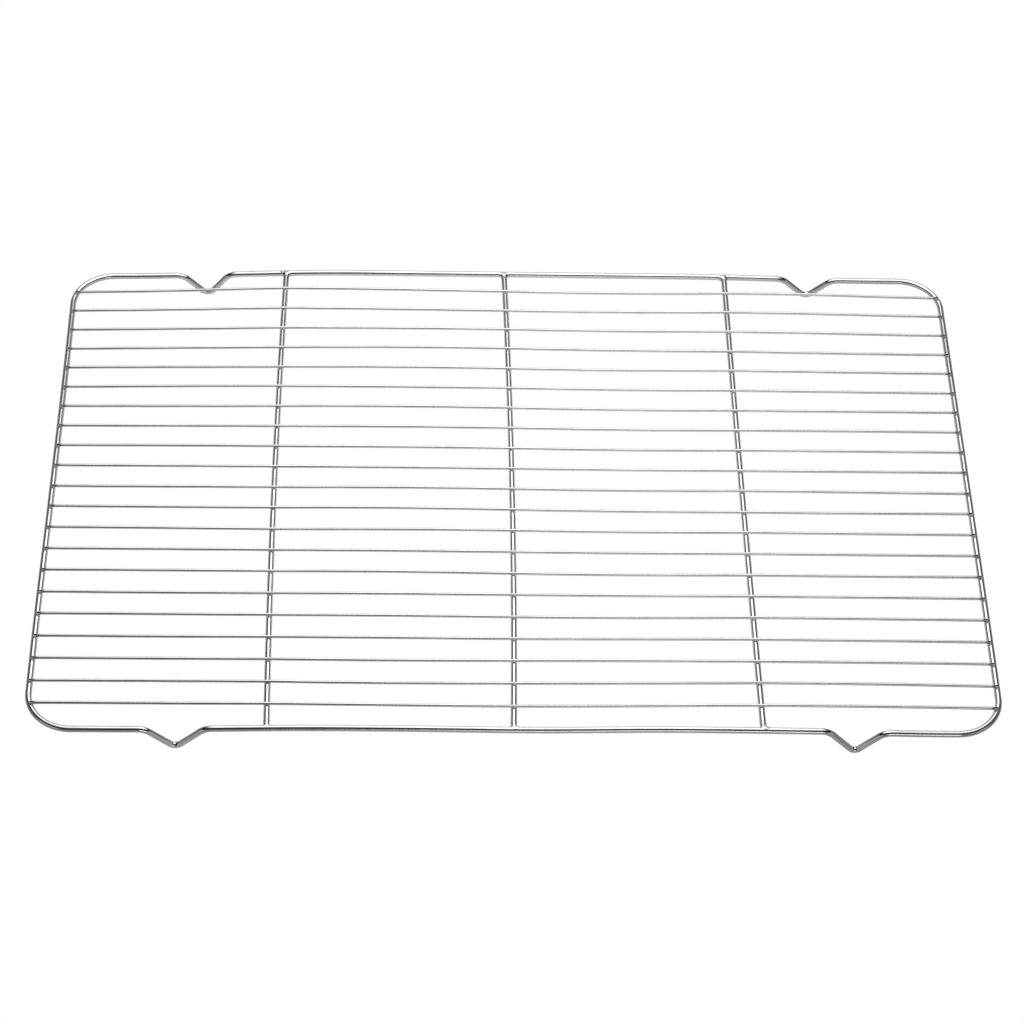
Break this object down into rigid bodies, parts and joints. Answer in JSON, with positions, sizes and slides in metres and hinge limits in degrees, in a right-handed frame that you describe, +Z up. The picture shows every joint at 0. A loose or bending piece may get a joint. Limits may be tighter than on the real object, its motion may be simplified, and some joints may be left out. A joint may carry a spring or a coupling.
{
  "type": "cooling rack",
  "caption": "Rectangular welded wire rack with rounded corners and short V-shaped feet bent into the long rails, for cooling baked goods with air underneath.",
  "frame": {"origin": "middle of the rack, on the surface that its four feet stand on", "axes": "+X along the length and the deck wires, +Y from the front rail to the back rail, +Z up through the deck"},
  "size_m": [0.6096, 0.4064, 0.024],
  "materials": {
    "frame_and_cross_wire": "bright plated, thick wire",
    "deck_wire": "bright plated, thin drawn wire"
  },
  "bodies": {
    "root": {"frame_wire": "frame_and_cross_wire", "cross_wire_left": "frame_and_cross_wire", "cross_wire_centre": "frame_and_cross_wire", "cross_wire_right": "frame_and_cross_wire", "deck_wire_01": "deck_wire", "deck_wire_02": "deck_wire", "deck_wire_03": "deck_wire", "deck_wire_04": "deck_wire", "deck_wire_05": "deck_wire", "deck_wire_06": "deck_wire", "deck_wire_07": "deck_wire", "deck_wire_08": "deck_wire", "deck_wire_09": "deck_wire", "deck_wire_10": "deck_wire", "deck_wire_11": "deck_wire", "deck_wire_12": "deck_wire", "deck_wire_13": "deck_wire", "deck_wire_14": "deck_wire", "deck_wire_15": "deck_wire", "deck_wire_16": "deck_wire", "deck_wire_17": "deck_wire", "deck_wire_18": "deck_wire", "deck_wire_19": "deck_wire", "deck_wire_20": "deck_wire", "deck_wire_21": "deck_wire"}
  },
  "joints": []
}
